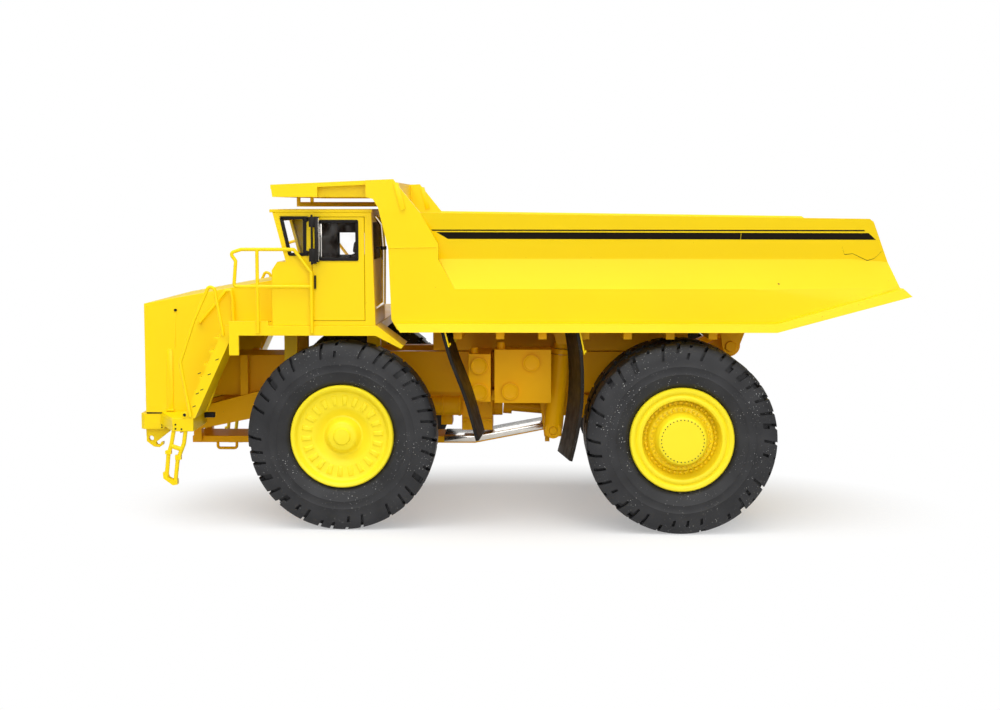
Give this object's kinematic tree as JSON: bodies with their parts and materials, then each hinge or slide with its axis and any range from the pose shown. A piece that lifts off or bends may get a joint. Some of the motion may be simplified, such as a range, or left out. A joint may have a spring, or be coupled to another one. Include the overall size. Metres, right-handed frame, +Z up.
{
  "type": "rigid mining dump truck scale model",
  "caption": "Scale model of a rigid mining dump truck with a tilting bed, telescopic hoists, linked steering, twin rear tyres and a cab over the driver's side wheel.",
  "frame": {"origin": "on the floor under the middle of the truck's length and width", "axes": "+X to the tail, -Y the driver's side, +Z up"},
  "size_m": [0.22, 0.112, 0.0996],
  "materials": {
    "body_paint": "satin enamel, bright warm yellow",
    "wheel_paint": "satin enamel, bright warm yellow",
    "tyre_rubber": "moulded black rubber, matt",
    "flap_rubber": "cut sheet rubber, matt black",
    "window_glass": "clear sheet",
    "trim_black": "satin black paint",
    "cab_inside": "matt dark grey paint",
    "bright_steel": "bare bright metal"
  },
  "bodies": {
    "chassis": {"frame": "body_paint", "frame_brackets": "body_paint", "hoist_pins": "bright_steel", "bumper": "body_paint", "tow_hooks": "body_paint", "hood": "body_paint", "grille": "body_paint", "headlamps": "window_glass", "engine": "body_paint", "transmission": "body_paint", "drive_shaft": "body_paint", "belly_plate": "body_paint", "front_axle": "body_paint", "front_struts": "body_paint", "rear_axle": "body_paint", "rear_struts": "body_paint", "rear_links": "body_paint", "deck": "body_paint", "cab_shell": "body_paint", "cab_door": "body_paint", "cab_glass": "window_glass", "cab_roof": "body_paint", "cab_seat": "cab_inside", "cab_controls": "cab_inside", "mirrors": "trim_black", "air_cleaners": "body_paint", "hydraulic_tank": "body_paint", "fuel_tank": "body_paint", "railing_left": "body_paint", "railing_right": "body_paint", "stair_left": "body_paint", "stair_right": "body_paint", "stair_rails_left": "body_paint", "stair_rails_right": "body_paint", "ladder_left": "body_paint", "ladder_right": "body_paint"},
    "bed": {"bed_shell": "body_paint", "bed_beams": "body_paint", "bed_ribs": "body_paint", "front_flaps": "flap_rubber", "rear_flaps": "flap_rubber"},
    "hoist_barrel_left": {"hoist_barrel_left": "body_paint"},
    "hoist_stage_left": {"hoist_stage_left": "bright_steel"},
    "hoist_rod_left": {"hoist_rod_left": "bright_steel"},
    "knuckle_left": {"knuckle_left": "body_paint"},
    "front_wheel_left": {"front_tyre_left": "tyre_rubber", "front_rim_left": "wheel_paint"},
    "rear_wheels_left": {"rear_tyres_left": "tyre_rubber", "rear_rims_left": "wheel_paint"},
    "hoist_barrel_right": {"hoist_barrel_right": "body_paint"},
    "hoist_stage_right": {"hoist_stage_right": "bright_steel"},
    "hoist_rod_right": {"hoist_rod_right": "bright_steel"},
    "knuckle_right": {"knuckle_right": "body_paint"},
    "front_wheel_right": {"front_tyre_right": "tyre_rubber", "front_rim_right": "wheel_paint"},
    "rear_wheels_right": {"rear_tyres_right": "tyre_rubber", "rear_rims_right": "wheel_paint"},
    "tie_rod": {"tie_rod": "body_paint"}
  },
  "joints": [
    {"name": "bed_tilt", "type": "hinge", "parent": "chassis", "child": "bed", "pos_m": [0.0652, 0, 0.05], "axis": [0, 1, 0], "range_deg": [0, 45]},
    {"name": "steer_left", "type": "hinge", "parent": "chassis", "child": "knuckle_left", "pos_m": [-0.0488, -0.03, 0.0269], "axis": [0, 0, 1], "range_deg": [-22, 22]},
    {"name": "steer_right", "type": "hinge", "parent": "chassis", "child": "knuckle_right", "pos_m": [-0.0488, 0.03, 0.0269], "axis": [0, 0, 1], "range_deg": [-22, 22]},
    {"name": "tie_rod_swing", "type": "hinge", "parent": "knuckle_left", "child": "tie_rod", "pos_m": [-0.0408, -0.03, 0.0224], "axis": [0, 0, 1], "range_deg": [-22, 22]},
    {"name": "hoist_swing_left", "type": "hinge", "parent": "chassis", "child": "hoist_barrel_left", "pos_m": [0.0117, -0.0195, 0.025], "axis": [0, 1, 0], "range_deg": [-0.5, 11.7]},
    {"name": "hoist_stage_slide_left", "type": "slide", "parent": "hoist_barrel_left", "child": "hoist_stage_left", "axis": [0.0889, 0, 0.996], "range_m": [0, 0.01903]},
    {"name": "hoist_rod_slide_left", "type": "slide", "parent": "hoist_stage_left", "child": "hoist_rod_left", "axis": [0.0889, 0, 0.996], "range_m": [0, 0.01903]},
    {"name": "front_wheel_spin_left", "type": "hinge", "parent": "knuckle_left", "child": "front_wheel_left", "pos_m": [-0.0488, -0.04265, 0.0269], "axis": [0, 1, 0], "continuous": true},
    {"name": "rear_wheels_spin_left", "type": "hinge", "parent": "chassis", "child": "rear_wheels_left", "pos_m": [0.0473, -0.0395, 0.0269], "axis": [0, 1, 0], "continuous": true},
    {"name": "hoist_swing_right", "type": "hinge", "parent": "chassis", "child": "hoist_barrel_right", "pos_m": [0.0117, 0.0195, 0.025], "axis": [0, 1, 0], "range_deg": [-0.5, 11.7]},
    {"name": "hoist_stage_slide_right", "type": "slide", "parent": "hoist_barrel_right", "child": "hoist_stage_right", "axis": [0.0889, 0, 0.996], "range_m": [0, 0.01903]},
    {"name": "hoist_rod_slide_right", "type": "slide", "parent": "hoist_stage_right", "child": "hoist_rod_right", "axis": [0.0889, 0, 0.996], "range_m": [0, 0.01903]},
    {"name": "front_wheel_spin_right", "type": "hinge", "parent": "knuckle_right", "child": "front_wheel_right", "pos_m": [-0.0488, 0.04265, 0.0269], "axis": [0, 1, 0], "continuous": true},
    {"name": "rear_wheels_spin_right", "type": "hinge", "parent": "chassis", "child": "rear_wheels_right", "pos_m": [0.0473, 0.0395, 0.0269], "axis": [0, 1, 0], "continuous": true}
  ],
  "couplings": [
    {"joint": "steer_right", "follows": "steer_left", "ratio": 1},
    {"joint": "tie_rod_swing", "follows": "steer_left", "ratio": -1},
    {"joint": "hoist_swing_left", "follows": "bed_tilt", "ratio": 0.24889},
    {"joint": "hoist_stage_slide_left", "follows": "bed_tilt", "m_per_rad": 0.024211},
    {"joint": "hoist_rod_slide_left", "follows": "bed_tilt", "m_per_rad": 0.024211},
    {"joint": "hoist_swing_right", "follows": "bed_tilt", "ratio": 0.24889},
    {"joint": "hoist_stage_slide_right", "follows": "bed_tilt", "m_per_rad": 0.024211},
    {"joint": "hoist_rod_slide_right", "follows": "bed_tilt", "m_per_rad": 0.024211}
  ]
}
